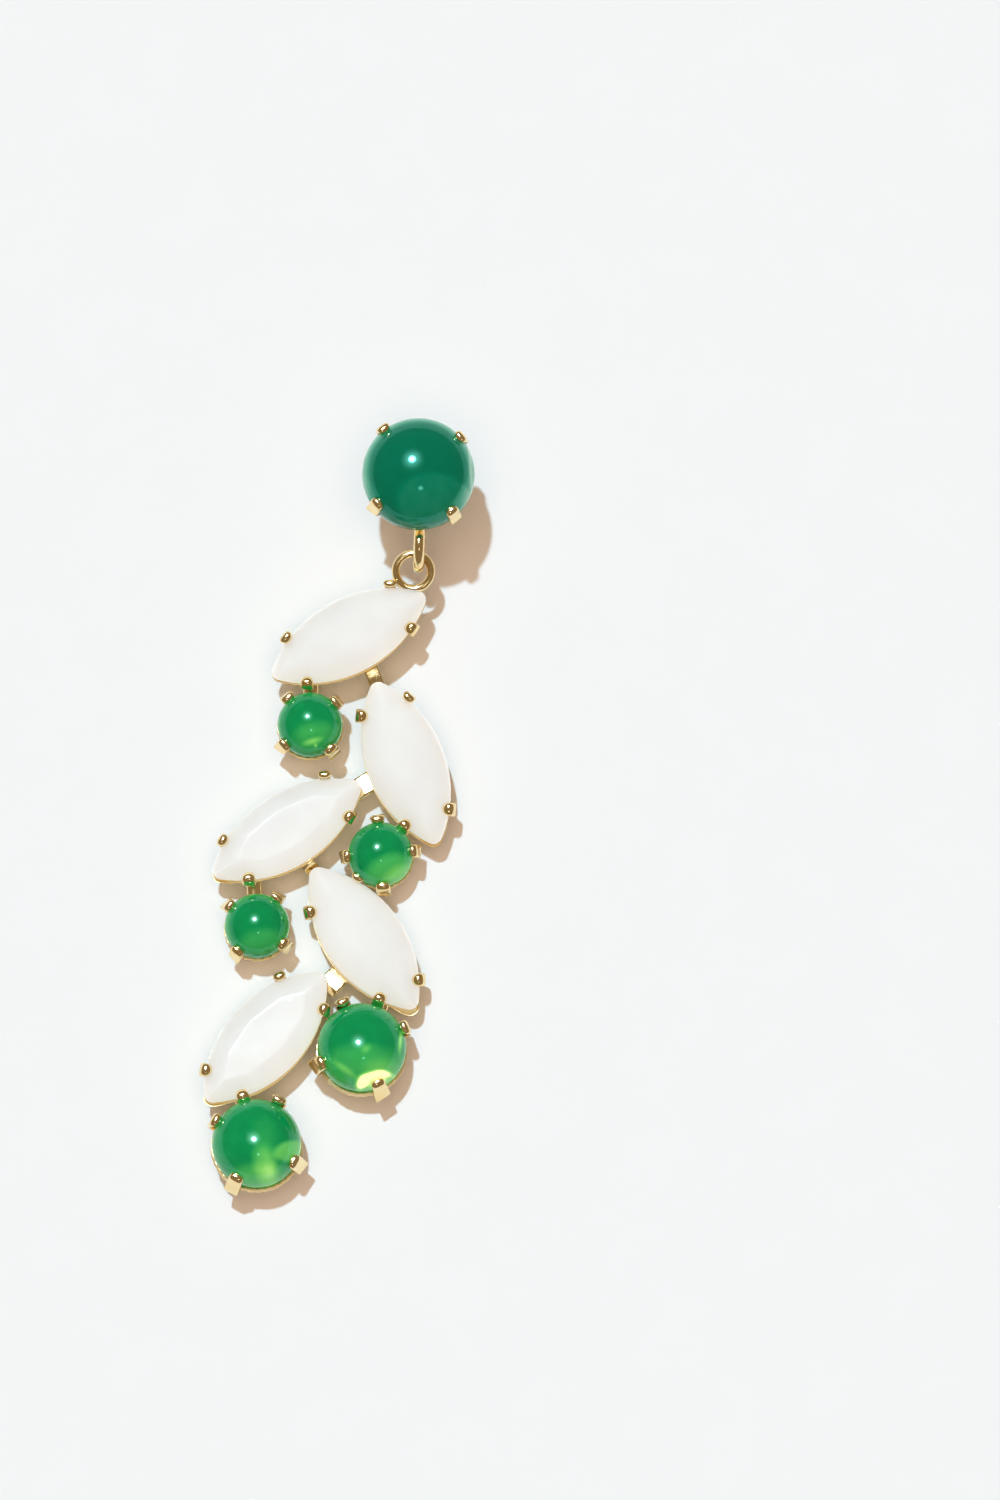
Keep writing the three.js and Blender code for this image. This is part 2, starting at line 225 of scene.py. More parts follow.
# The slope that an uneven polish gives each dome at its middle: across the drop and up it.
CRESTS = {
    "cabochon_1": (0.015, -0.01), "cabochon_2": (-0.018, -0.02), "cabochon_3": (0.02, -0.045),
    "cabochon_4": (0.022, -0.114), "cabochon_5": (0.039, -0.129), "top_cabochon": (0.0, 0.0),
}

# How each bar is bent: the fold's place as a share of the gap between the two navettes, the slope below
# it, how far its face leans and which way, its width, its section's squareness, and how far it sits to
# the side.
BENDS = [
    {"fold": 0.34, "slope": 0.12, "lean": 2.4, "way": 129, "wide": 1.3, "square": 8, "side": 0},
    {"fold": 0.0, "slope": 0.2, "lean": 9.7, "way": 129, "wide": 1.85, "square": 9, "side": -0.15},
    {"fold": 0.9, "slope": 0.9, "lean": 14, "way": 283.5, "wide": 1.3, "square": 8, "side": 0},
    {"fold": 0.42, "slope": 0.14, "lean": 14.7, "way": 98.6, "wide": 2.0, "square": 9, "side": -0.8},
]

# The ring's centre in the frame, from where the top's stone is.
top_low, top_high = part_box("top_cabochon")
ORIGIN = ((top_low + top_high) / 2 / MM).xy - Vector((TOP["x"], TOP["y"]))

# The way from the top to the drop's low end, across the board.
LOW_SIDE = 283.5

# ---- light --------------------------------------------------------------------------------------

# The way to the lamp: its angle from X, and from straight up.
KEY_AZIMUTH = 125.0
KEY_ZENITH = 25.5

# ---- fineness of the meshes ---------------------------------------------------------------------

ROUND_SIDES = 144
LONG_ARC_STEPS = 40
TIP_STEPS = 9
DOME_STEPS = 40
NAVETTE_RINGS = 72
STRIP_SIDES = 18
POST_SIDES = 48


def rad(degrees):
    return math.radians(degrees)


def unit(degrees):
    """The level direction at an angle from X."""
    return np.array([math.cos(rad(degrees)), math.sin(rad(degrees))])


def smooth_step(low, high, value):
    """0 below `low` and 1 above `high`, with a smooth rise between them."""
    t = np.clip((value - low) / (high - low), 0, 1)
    return t * t * (3 - 2 * t)


# ---- outlines -----------------------------------------------------------------------------------


def circle(radius, sides=ROUND_SIDES):
    angles = 2 * math.pi * np.arange(sides) / sides
    return radius * np.stack([np.cos(angles), np.sin(angles)], axis=1)


def long_arc_radius(long, wide, tip):
    """Radius of the long arcs that pass `wide` from the axis and meet in tips of radius `tip`."""
    return ((long - tip) ** 2 + wide**2 - tip**2) / (2 * (wide - tip))


def marquise(long, wide):
    """A navette's outline: two long arcs joined by small round tips."""
    tip = NAVETTE_TIP_RADIUS * wide / STONE["navette"]["wide"]
    arc = long_arc_radius(long, wide, tip)
    spread = math.asin((long - tip) / (arc - tip))
    turn = math.pi / 2 - spread
    first = np.arange(TIP_STEPS) / TIP_STEPS * turn
    side = spread * (1 - 2 * np.arange(LONG_ARC_STEPS + 1) / LONG_ARC_STEPS)
    last = math.pi - turn + np.arange(1, TIP_STEPS) / TIP_STEPS * turn
    half = np.concatenate([
        np.stack([long - tip + tip * np.cos(first), tip * np.sin(first)], axis=1),
        np.stack([arc * np.sin(side), arc * np.cos(side) - (arc - wide)], axis=1),
        np.stack([tip - long + tip * np.cos(last), tip * np.sin(last)], axis=1),
    ])
    return np.concatenate([half, -half])


def outline(cut, grow, grow_wide=None):
    """The outline of a cut, grown from its girdle by so many mm lengthways and sideways."""
    long = STONE[cut]["long"] + grow
    wide = STONE[cut]["wide"] + (grow if grow_wide is None else grow_wide)
    return marquise(long, wide) if cut == "navette" else circle(long)


# ---- meshes: (points, faces) pairs ---------------------------------------------------------------


def stacked(rows):
    """A closed surface through rows of points, (count, 3) each, with a cap over either end."""
    sides = len(rows[0])
    points = np.concatenate([rows[0].mean(axis=0)[None], *rows, rows[-1].mean(axis=0)[None]])
    last = len(points) - 1
    faces = []
    for i in range(sides):
        after = (i + 1) % sides
        faces.append((0, 1 + after, 1 + i))
        faces.append((last, last - sides + i, last - sides + after))
    for k in range(len(rows) - 1):
        low = 1 + k * sides
        high = low + sides
        for i in range(sides):
            after = (i + 1) % sides
            faces.append((low + i, low + after, high + after, high + i))
    return points, faces


def joined(parts):
    """One mesh from several."""
    points, faces, count = [], [], 0
    for part_points, part_faces in parts:
        points.append(part_points)
        faces += [tuple(v + count for v in face) for face in part_faces]
        count += len(part_points)
    return np.concatenate(points), faces


def placed(part, matrix):
    points, faces = part
    return points @ np.array(matrix.to_3x3()).T + np.array(matrix.translation), faces


def turned(part, degrees):
    return placed(part, Matrix.Rotation(rad(degrees), 4, "Z"))


def narrowed(part, share):
    """Squeezes a part across Y."""
    points, faces = part
    return points * (1, share, 1), faces


def rounded(rows, times=2):
    """Cuts the corners of an open line of rows of numbers, and keeps its ends."""
    rows = np.array(rows, float)
    for _ in range(times):
        near = 0.75 * rows[:-1] + 0.25 * rows[1:]
        far = 0.25 * rows[:-1] + 0.75 * rows[1:]
        middle = np.stack([near, far], axis=1).reshape(-1, rows.shape[1])
        rows = np.concatenate([rows[:1], middle[1:-1], rows[-1:]])
    return rows


def strip(rows, slant=0.0):
    """
    A bent strip of metal from rows of (u, v, width, thickness, squareness): u runs along it, v up,
    and its section is a superellipse. The slant skews its sections in the level plane, and fades out
    along it.
    """
    rows = rounded(rows)
    along = np.gradient(rows[:, :2], axis=0)
    along /= np.linalg.norm(along, axis=1)[:, None]
    angles = 2 * math.pi * (np.arange(STRIP_SIDES) + 0.5) / STRIP_SIDES
    rings = []
    for k, ((u, v, width, thick, square), (du, dv)) in enumerate(zip(rows, along)):
        across = np.sign(np.cos(angles)) * np.abs(np.cos(angles)) ** (2 / square) * width / 2
        out = np.sign(np.sin(angles)) * np.abs(np.sin(angles)) ** (2 / square) * thick / 2
        skew = slant * across * (1 - k / len(rows)) ** 2
        rings.append(np.stack([u - dv * out + skew, -across, v + du * out], axis=1))
    return stacked(rings)


def wire_ring(radius, wire, steps=72, sides=20):
    """A ring of round wire about Z."""
    points, faces = [], []
    for i in range(steps):
        about = unit(360 * i / steps)
        for k in range(sides):
            out, up = wire * unit(360 * k / sides)
            points.append((*(about * (radius + out)), up))
            after, above = (i + 1) % steps, (k + 1) % sides
            faces.append((i * sides + k, after * sides + k, after * sides + above, i * sides + above))
    return np.array(points), faces


# ---- glass: z = 0 at the girdle -------------------------------------------------------------------


def cabochon_glass(cut, crest):
    """
    A high dome over a back that narrows to a small flat. The crest is the slope across the drop and
    up it that the dome has at its middle, from an uneven fire polish.
    """
    slope = crest[0] * unit(LOW_SIDE + 90) + crest[1] * unit(LOW_SIDE + 180)
    stone = STONE[cut]
    radius, crown = stone["long"], stone["crown"]
    back_z = BACK_HEIGHT - stone["depth"]
    # The girdle's lower corner stands twice, which keeps it crisp.
    under = rounded([
        (0.3 * radius, back_z), (CABOCHON_BACK_SHARE * radius, back_z), (radius, -GIRDLE),
        (radius, -GIRDLE), (radius, 0),
    ], 3)
    steps = [rad(90 * k / DOME_STEPS) for k in range(1, DOME_STEPS)]
    dome = [(radius * math.cos(a), crown * math.sin(a)) for a in steps]
    rows = [np.c_[circle(r), np.full(ROUND_SIDES, z)] for r, z in under]
    for r, z in dome:
        points = circle(r)
        fading = (1 - (r / radius) ** 2) ** 2
        rows.append(np.c_[points, z + fading * (points @ slope)])
    return stacked(rows)


# A navette's crown facets, each side of the long axis: the direction that a facet faces. The table
# starts CROWN_RUN in from the girdle, the bevel runs along the girdle, and the keel has its shoulder
# that share of the way in to the flat back.
NAVETTE_FACETS = (-34.4, -8.8, 8.8, 34.4)
CROWN_RUN = 1.75
BEVEL = 0.05
SHOULDER = 0.12

# How steeply the crown may rise from the girdle, in mm over the whole way to the middle, and the step
# that it starts with.
CROWN_EDGE_RISE = 21.0
CROWN_EDGE_STEP = 0.02

# How a navette's fire polish came out: how soft the edges of its facets are, in mm, and its surface's
# roughness, shine and waviness.
POLISH = {
    "satin": {"edge": 0.22, "rough": 0.5, "shine": 0.04, "waves": 0.3},
    "silky": {"edge": 0.03, "rough": 0.344, "shine": 0.112, "waves": 0.72},
    "bright": {"edge": 0.03, "rough": 0.24, "shine": 0.16, "waves": 1.0},
}


def soft_least(values, softness):
    """The least of several heights, with the edges between them rounded."""
    least = values.min(axis=0)
    return least - softness * np.log(np.exp(-(values - least) / softness).sum(axis=0))


def navette_glass(softness):
    """A faceted crown under a flat table, and a keel of a back."""
    stone = STONE["navette"]
    girdle_z = GIRDLE / 2
    edge = outline("navette", 0)
    slope = (stone["crown"] - girdle_z) / CROWN_RUN
    planes = []
    for side in (90, -90):
        for lean in NAVETTE_FACETS:
            way = unit(side - lean)
            planes.append((way, (edge @ way).max()))
    crown = []
    for share in np.cos(np.linspace(0, math.pi / 2, NAVETTE_RINGS)[:-1]):
        points = edge * share
        heights = [girdle_z + slope * (reach - points @ way) for way, reach in planes]
        heights.append(np.full(len(points), stone["crown"]))
        height = soft_least(np.array(heights), softness)
        most = girdle_z + CROWN_EDGE_RISE * (1 - share) + CROWN_EDGE_STEP
        crown.append(np.c_[points, np.minimum(height, most)])
    back_edge = outline("navette", NAVETTE_BACK["long"], NAVETTE_BACK["wide"])
    back_z = BACK_HEIGHT - stone["depth"]
    # From inside the flat back out to its edge, up the keel to the girdle, and up the girdle's side.
    under = [
        (back_edge * 0.5, back_z),
        (back_edge, back_z),
        (SHOULDER * back_edge + (1 - SHOULDER) * edge, SHOULDER * back_z - girdle_z),
        (edge * 0.995, -girdle_z),
        (edge, BEVEL - girdle_z),
        (edge, BEVEL),
    ]
    return stacked([*(np.c_[points, np.full(len(edge), z)] for points, z in under), *crown])


# ---- settings: z = 0 at the base ------------------------------------------------------------------


def cup_profile(cut):
    """How far a cup's outside stands out from the girdle at its foot, halfway up and at its rim."""
    foot = -FOOT_SHARE * STONE[cut]["wide"]
    out = RIM[cut]["out"]
    return foot, foot + WAIST_OPEN * (out - foot), out


def claw_places(cut, along):
    """
    Where a cut's four claws stand: a point on the girdle and the direction out of it. A navette's
    stand `along` its axis from the middle.
    """
    if cut != "navette":
        return [(STONE[cut]["long"] * unit(a), a) for a in (0, 90, 180, 270)]
    stone = STONE["navette"]
    arc = long_arc_radius(stone["long"], stone["wide"], NAVETTE_TIP_RADIUS)
    places = []
    for x, side in zip(along, (1, 1, -1, -1)):
        turn = math.asin(x / arc)
        y = arc * math.cos(turn) - (arc - stone["wide"])
        places.append((np.array([x, side * y]), side * (90 - math.degrees(turn))))
    return places


def cup(cut, low_way, tip_flare, places, dice):
    """
    The thin stamped cup. Its edge dips between the claws, stands off the stone on the low side, and
    is milled on a round cup and flared at a navette's low tip.
    """
    depth = STONE[cut]["depth"]
    rim = RIM[cut]
    foot, waist, out = cup_profile(cut)
    top = depth - rim["below"]
    lip = rim["lip"]
    outside = [
        (foot - LEVEL["base"], 0), (foot - CORNER, 0), (foot, CORNER),
        (0.5 * (foot + waist) + BELLY, 0.25 * depth), (waist, 0.5 * depth),
        (out - 0.5 * CORNER, top - RIM_START), (out, top),
    ]
    over_lip = [(out - 0.1 * lip, top + CORNER), (out - lip, top + CORNER - rim["slope"] * lip)]
    inside = [
        (out - lip - CORNER, top - RIM_START), (waist - WALL, 0.5 * depth), (foot - WALL, WALL),
        (foot - WALL - LEVEL["floor"], WALL),
    ]
    edge = outline(cut, 0)
    count = len(edge)
    steps = np.arange(count)
    nearest = np.min([np.linalg.norm(edge - at, axis=1) for at, _ in places], axis=0)
    near, far = (share * CLAW[cut]["width"] for share in CLEAR_OF_CLAW)
    between = smooth_step(near, far, nearest)
    wave = np.array([dice.uniform(-1, 1) for _ in range(RIPPLES)])
    ripple = RIPPLE * np.interp(steps, np.linspace(0, count, RIPPLES + 1), [*wave, wave[0]])
    run = np.roll(edge, -1, axis=0) - np.roll(edge, 1, axis=0)
    normal = np.c_[run[:, 1], -run[:, 0]] / np.linalg.norm(run, axis=1)[:, None]
    on_low = np.clip(normal @ low_way, 0, 1)
    tips = smooth_step(*TIP_FLARE, np.abs(edge[:, 0])) if cut == "navette" else 0
    teeth = TOOTH * np.cos(rim["teeth"] * 2 * math.pi * steps / count) if rim["teeth"] else 0
    flare = tip_flare * tips * on_low + teeth + ripple
    rows = []
    for grow, z in rounded([*outside, *over_lip, *inside]):
        share = smooth_step(0.5 * depth, top, z)
        lower = share * (rim["dip"] * between + ripple)
        points = outline(cut, grow) + share * (rim["low"] * low_way + normal * np.reshape(flare, (-1, 1)))
        rolled = rim["roll"] * on_low * np.clip((out - grow) / lip, 0, 1) * share
        rows.append(np.c_[points, z - lower + rolled])
    return stacked(rows)


def claw(cut, on_low, dice):
    """
    A claw, in u out from the girdle and v up from it: a strip out of the cup's waist to a knee, a
    flat plate that leans in over the stone, and a round end pressed down on it. On the low side, at
    `on_low` of 1, the plate stands further out and reaches further in. On the high side, at -1, the
    end is flatter and barely reaches the stone.
    """
    size = CLAW[cut]
    depth = STONE[cut]["depth"]
    _, waist, _ = cup_profile(cut)
    width = size["width"] * dice.uniform(*VARIED["width"])
    bead = size["bead"] * dice.uniform(*VARIED["bead"])
    push = size["low"] * on_low
    on_high = max(0, -on_low)
    deep = size["end"] * (1 - size["flat"] * on_high)
    thick = CLAW_PLATE
    out = size["out"] + push * dice.uniform(*VARIED["push"]) - thick / 2
    over = size["over"] + 1.3 * push - size["high"] * on_high + dice.uniform(*VARIED["over"])
    # The middle of the round end, the knee, the plate's neck, and the way on round the end's nose.
    end = np.array([0.3 * bead - over, size["height"] + 0.9 * push - 0.4 * deep])
    knee = np.array([out, -0.05])
    lean = (end - knee) / np.linalg.norm(end - knee)
    neck = end - 0.6 * bead * lean
    nose = np.array([lean[0] - 0.9, lean[1] - 1.1])
    nose /= np.linalg.norm(nose)
    # Up from the waist to the knee, along the plate to its neck, and round the pressed end. The knee
    # stands twice, which keeps it crisp.
    return strip([
        (waist - 0.1, -0.5 * depth + 0.1, width * 0.9, thick, 5),
        (0.5 * (waist + out), -0.34 * depth, width, thick, 5),
        (out, knee[1] - 0.22, width, thick, 5),
        (*knee, width, thick, 6),
        (*knee, width, thick, 6),
        (*(knee + 0.12 * (neck - knee)), width, thick, 6),
        (*(knee + 0.85 * (neck - knee)), 0.5 * (width + bead), thick, 5),
        (*(neck + 0.1 * bead * lean), bead, 0.7 * deep, 4),
        (*(end - 0.3 * bead * lean), bead, 0.9 * deep, 3.2),
        (*end, bead * 0.98, deep, 2.8),
        (*(end + 0.38 * deep * nose), bead * 0.88, 0.9 * deep, 2.5),
        (*(end + 0.7 * deep * nose), bead * 0.62, 0.6 * deep, 2.2),
        (*(end + 0.82 * deep * nose), bead * 0.15, 0.15 * deep, 2),
    ], dice.uniform(*VARIED["slant"]))


def setting(cut, turn, dice, tip_flare=0, along=None, slim=1):
    """A cup and its claws, turned to its place in the drop, and how satin each of its points is."""
    depth = STONE[cut]["depth"]
    places = claw_places(cut, along)
    parts = [cup(cut, unit(LOW_SIDE - turn), tip_flare, places, dice)]
    for at, angle in places:
        on_low = float(unit(angle + turn) @ unit(LOW_SIDE))
        place = Matrix.Translation((*at, depth)) @ Matrix.Rotation(rad(angle), 4, "Z")
        parts.append(placed(claw(cut, on_low, dice), place))
    lip = depth - RIM[cut]["below"]
    on_lip = smooth_step(lip - SATIN_LIP[0], lip - SATIN_LIP[1], parts[0][0][:, 2])
    satin = [on_lip, *(np.zeros(len(points)) for points, _ in parts[1:])]
    return turned(narrowed(joined(parts), slim), turn), np.concatenate(satin)


# ---- places ---------------------------------------------------------------------------------------


def from_ring(x, y, z):
    """The place at x and y from the linked ring's centre, and z above the board."""
    return Matrix.Translation((ORIGIN.x + x, ORIGIN.y + y, z))


def place_of(row, lift=0.0):
    """The place of a row's base in the frame, or of a point `lift` mm up its own axis."""
    return (
        from_ring(row["x"], row["y"], row["rise"])
        @ Matrix.Rotation(rad(row["pitch"]), 4, "X")
        @ Matrix.Rotation(rad(row.get("roll", 0)), 4, "Y")
        @ Matrix.Translation((0, 0, lift))
    )


def leaning(way, lean):
    """Tips what faces up so that it faces `lean` from upright, towards `way`."""
    return Matrix.Rotation(rad(lean), 4, Vector((*unit(way + 90), 0)))


def way_to_navette(navette, x, y):
    """The nearest way from a point to a navette's long edge: its angle and the distance."""
    stone = STONE["navette"]
    arc = long_arc_radius(stone["long"], stone["wide"], NAVETTE_TIP_RADIUS)
    axis = unit(navette["turn"])
    side = np.array([-axis[1], axis[0]])
    start = np.array([x - navette["x"], y - navette["y"]])
    way = -np.sign(start @ side) * (arc - stone["wide"]) * side - start
    return math.degrees(math.atan2(way[1], way[0])), np.linalg.norm(way) - arc


def shown(name, part, matrix, material, replaced):
    """Puts a piece in the frame, in metres, as part of the object."""
    points, faces = placed(part, matrix)
    mesh = bpy.data.meshes.new(name)
    mesh.from_pydata([tuple(p) for p in np.asarray(points) * MM], [], faces)
    mesh.materials.append(material)
    mesh.shade_smooth()
    piece = bpy.data.objects.new(name, mesh)
    bpy.context.scene.collection.objects.link(piece)
    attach(piece, "root")
    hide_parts(replaced)
    return piece


# ---- materials ------------------------------------------------------------------------------------


def tint(code, alpha=1.0):
    """A hex colour as linear red, green, blue and alpha."""
    channels = [int(code[i:i + 2], 16) / 255 for i in (1, 3, 5)]
    linear = [c / 12.92 if c <= 0.04045 else ((c + 0.055) / 1.055) ** 2.4 for c in channels]
    return (*linear, alpha)


def add(tree, kind, inputs=None, links=None, stops=None, **settings):
    """
    Adds a node. Settings are its own properties, inputs its sockets' values, links the (node,
    output) that feeds a socket, and stops the (place, colour) rows of a ramp.
    """
    made = tree.nodes.new(kind)
    for key, value in settings.items():
        setattr(made, key, value)
    for socket, value in (inputs or {}).items():
        made.inputs[socket].default_value = value
    for socket, (source, output) in (links or {}).items():
        tree.links.new(source.outputs[output], made.inputs[socket])
    if stops:
        ramp = made.color_ramp.elements
        while len(ramp) < len(stops):
            ramp.new(0.5)
        for element, (place, colour) in zip(ramp, stops):
            element.position = place
            element.color = tint(colour)
    return made


def blank(name):
    """A new material, and its node tree with nothing in it."""
    material = bpy.data.materials.new(name)
    material.use_nodes = True
    material.node_tree.nodes.clear()
    return material, material.node_tree


def per_mm(size):
    """The noise scale that gives features of a real size in mm, in coordinates of metres."""
    return 1 / (size * MM)


def gold_plated_brass():
    """Stamped brass, tumbled bright and gold plated: a pale yellow mirror, softly uneven."""
    material, tree = blank("gold_plated_brass")
    place = add(tree, "ShaderNodeTexCoord")
    plating = add(tree, "ShaderNodeTexNoise", {"Scale": per_mm(2.2), "Detail": 2},
                  {"Vector": (place, "Object")})
    colour = add(tree, "ShaderNodeValToRGB", links={"Fac": (plating, "Fac")},
                 stops=[(0.35, "#f8dca0"), (0.65, "#fbe6b4")])
    tumbled = add(tree, "ShaderNodeTexNoise", {"Scale": per_mm(0.35), "Detail": 3},
                  {"Vector": (place, "Object")})
    polished = add(tree, "ShaderNodeMapRange",
                   {"From Min": 0.3, "From Max": 0.7, "To Min": 0.08, "To Max": 0.2},
                   {"Value": (tumbled, "Fac")})
    milled = add(tree, "ShaderNodeAttribute", attribute_name="satin")
    satin = add(tree, "ShaderNodeMath", {1: 0.24}, {0: (milled, "Fac")}, operation="MULTIPLY")
    rough = add(tree, "ShaderNodeMath", links={0: (polished, "Result"), 1: (satin, "Value")},
                operation="ADD")
    peel = add(tree, "ShaderNodeBump", {"Strength": 0.25, "Distance": 0.03 * MM},
               {"Height": (tumbled, "Fac")})
    metal = add(tree, "ShaderNodeMapRange", {"To Min": 1.0, "To Max": 0.5}, {"Value": (milled, "Fac")})
    surface = add(tree, "ShaderNodeBsdfPrincipled", links={
        "Base Color": (colour, "Color"), "Roughness": (rough, "Value"), "Normal": (peel, "Normal"),
        "Metallic": (metal, "Result"),
    })
    add(tree, "ShaderNodeOutputMaterial", links={"Surface": (surface, "BSDF")})
    return material


def white_opal_glass(polish):
    """Pressed opal glass with a slightly wavy fire polish, and painted light: an emission that makes it
    glow.
    """
    material, tree = blank(f"white_opal_glass_{polish}")
    finish = POLISH[polish]
    place = add(tree, "ShaderNodeTexCoord")
    cloud = add(tree, "ShaderNodeTexNoise", {"Scale": per_mm(4.0), "Detail": 2},
                {"Vector": (place, "Object")})
    colour = add(tree, "ShaderNodeValToRGB", links={"Fac": (cloud, "Fac")},
                 stops=[(0.3, "#bab9b6"), (0.7, "#bdbdbb")])
    ripples = add(tree, "ShaderNodeTexNoise", {"Scale": per_mm(1.6), "Detail": 1},
                  {"Vector": (place, "Object")})
    wavy = add(tree, "ShaderNodeBump", {"Strength": finish["waves"], "Distance": 0.06 * MM},
               {"Height": (ripples, "Fac")})
    # Painted light: the stone's emission follows the painted glow stored at each point.
    painted_glow = add(tree, "ShaderNodeAttribute", attribute_name="painted_glow")
    glow = add(tree, "ShaderNodeMapRange", {"From Max": 2.0, "To Max": 1.66}, {"Value": (painted_glow, "Fac")})
    surface = add(
        tree, "ShaderNodeBsdfPrincipled",
        {"Roughness": finish["rough"], "IOR": 1.51, "Specular IOR Level": finish["shine"],
         "Subsurface Weight": 1.0, "Subsurface Scale": 5.0 * MM, "Subsurface Radius": (1.0, 1.0, 1.0)},
        {"Base Color": (colour, "Color"), "Emission Color": (colour, "Color"),
         "Emission Strength": (glow, "Result"), "Normal": (wavy, "Normal")},
    )
    add(tree, "ShaderNodeOutputMaterial", links={"Surface": (surface, "BSDF")})
    return material


def green_opal_glass(name, stops, depth_mm, sheen):
    """Translucent green glass, fire polished, with painted light: pools of light, glow and rim reflections
    are painted into its colour and emission.
    """
    material, tree = blank(name)
    place = add(tree, "ShaderNodeTexCoord")
    painted_amount = add(tree, "ShaderNodeAttribute", attribute_name="painted_light")
    cloud = add(tree, "ShaderNodeTexNoise", {"Scale": per_mm(1.3), "Detail": 3},
                {"Vector": (place, "Object")})
    veil = add(tree, "ShaderNodeMath", {1: 0.1}, {0: (cloud, "Fac")}, operation="MULTIPLY")
    light = add(tree, "ShaderNodeMath", links={0: (painted_amount, "Fac"), 1: (veil, "Value")}, operation="ADD")
    colour = add(tree, "ShaderNodeValToRGB", links={"Fac": (light, "Value")}, stops=stops)
    # Painted glow: the brighter the painted light at a point, the more the glass emits there.
    lit = add(tree, "ShaderNodeMapRange", {"From Min": 0.3, "To Min": 0.26, "To Max": 0.6},
              {"Value": (light, "Value")})
    surface = add(
        tree, "ShaderNodeBsdfPrincipled",
        {"Roughness": 0.04, "IOR": 1.72, "Subsurface Weight": 0.35, "Subsurface Scale": depth_mm * MM,
         "Subsurface Radius": (0.3, 1.0, 0.4), "Specular Tint": tint(sheen)},
        {"Base Color": (colour, "Color"), "Emission Color": (colour, "Color"),
         "Emission Strength": (lit, "Result")},
    )
    add(tree, "ShaderNodeOutputMaterial", links={"Surface": (surface, "BSDF")})
    return material


def white_board():
    """A matt painted board."""
    material, tree = blank("white_board")
    place = add(tree, "ShaderNodeTexCoord")
    grain = add(tree, "ShaderNodeTexNoise", {"Scale": per_mm(6.0), "Detail": 4},
                {"Vector": (place, "Object")})
    colour = add(tree, "ShaderNodeValToRGB", links={"Fac": (grain, "Fac")},
                 stops=[(0.3, "#f3f3f3"), (0.7, "#f4f4f4")])
    surface = add(tree, "ShaderNodeBsdfPrincipled", {"Roughness": 0.9, "Specular IOR Level": 0.1},
                  {"Base Color": (colour, "Color")})
    add(tree, "ShaderNodeOutputMaterial", links={"Surface": (surface, "BSDF")})
    return material


# Painted light in each green stone, as soft ovals: painted pools of light where the lamp's light would
# gather, and on the top stone a painted reflection arc along its right rim. x and y of the middle across
# and up the drop, half length and half width, all in shares of the radius, the turn of its length,
# brightness, and softness of its edge.
PAINTED_GLOWS = {
    "top_cabochon": [
        (0.33, -0.62, 0.72, 0.52, -8, 0.22, 0.1), (0.92, 0.1, 0.4, 0.025, 93, 0.35, 0.9),
    ],
    "cabochon_1": [
        (0.25, -0.45, 0.7, 0.42, 12, 0.15, 0.5), (0.1, -0.56, 0.26, 0.08, 16, 0.4, 0.9),
        (0.2, -0.68, 0.05, 0.05, 0, 0.4, 0.8), (0.0, -0.2, 0.4, 0.25, 0, 0.07, 0.9),
    ],
    "cabochon_2": [
        (0.3, -0.5, 0.75, 0.42, 20, 0.25, 0.4), (0.5, -0.68, 0.4, 0.2, 35, 0.26, 0.8),
    ],
    "cabochon_3": [(0.2, -0.55, 0.7, 0.36, 10, 0.16, 0.5)],
    "cabochon_4": [
        (0.05, -0.6, 0.98, 0.52, 0, 0.17, 0.35), (0.0, -0.84, 0.15, 0.1, 48, 0.75, 0.6),
        (0.24, -0.67, 0.25, 0.06, 12, 0.6, 0.8), (0.56, -0.64, 0.18, 0.05, -8, 0.45, 0.9),
        (0.3, -0.8, 0.33, 0.14, 14, 0.62, 0.5), (-0.38, -0.56, 0.28, 0.06, -36, 0.24, 0.9),
        (0.86, 0.08, 0.04, 0.22, -5, 0.6, 0.9), (0.1, -0.12, 0.1, 0.07, 30, 0.22, 0.9),
        (0.42, -0.55, 0.32, 0.18, 5, 0.2, 0.9),
    ],
    "cabochon_5": [
        (0.22, -0.56, 0.25, 0.4, 12, 0.3, 0.5), (0.8, -0.22, 0.4, 0.22, 17, 0.36, 0.25),
        (0.2, 0.0, 0.24, 0.36, 10, 0.08, 0.9), (0.06, -0.8, 0.62, 0.24, 4, 0.26, 0.6),
        (0.3, -0.6, 0.12, 0.18, 15, 0.14, 0.9),
    ],
}

# Painted light that a stone gets all over, for each mm of its radius, and a painted reflection along its
# edge. The painted edge reflection rises between two shares of the radius, and from the low side up between
# two others.
PAINTED_LIGHT_PER_MM = 0.011
EDGE_RISE = (0.78, 0.98)
EDGE_UP = (-0.9, -0.2)
PAINTED_RIM_REFLECTION = {
    "top_cabochon": 0.6, "cabochon_1": 0.12, "cabochon_2": 0.12, "cabochon_3": 0.2, "cabochon_4": 0.1,
    "cabochon_5": 0.1,
}


def store(piece, name, values):
    """Stores a number at each point of a piece, for its material."""
    attribute = piece.data.attributes.new(name, "FLOAT", "POINT")
    attribute.data.foreach_set("value", values.astype(np.float32))


# Painted light on a white stone: how much brighter its glow is painted on the side away from the lamp, and
# how much darker towards its thin edge.
FAR_GLOW = 0.2
EDGE_DIM = 0.18


def painted_glow_amount(points, turn, slim):
    """
    The painted glow of a white stone at each point, for its emission: brightest in its thick middle,
    painted brighter on the side away from the lamp as if the light that enters the near side came out
    there, and painted darker towards its edge.
    """
    along = points[:, :2] @ unit(turn) / STONE["navette"]["long"]
    aside = points[:, :2] @ unit(turn + 90) / (STONE["navette"]["wide"] * slim)
    far = aside * (unit(turn + 90) @ unit(KEY_AZIMUTH + 180))
    return 1 + FAR_GLOW * far - EDGE_DIM * (along ** 2 + aside ** 2)


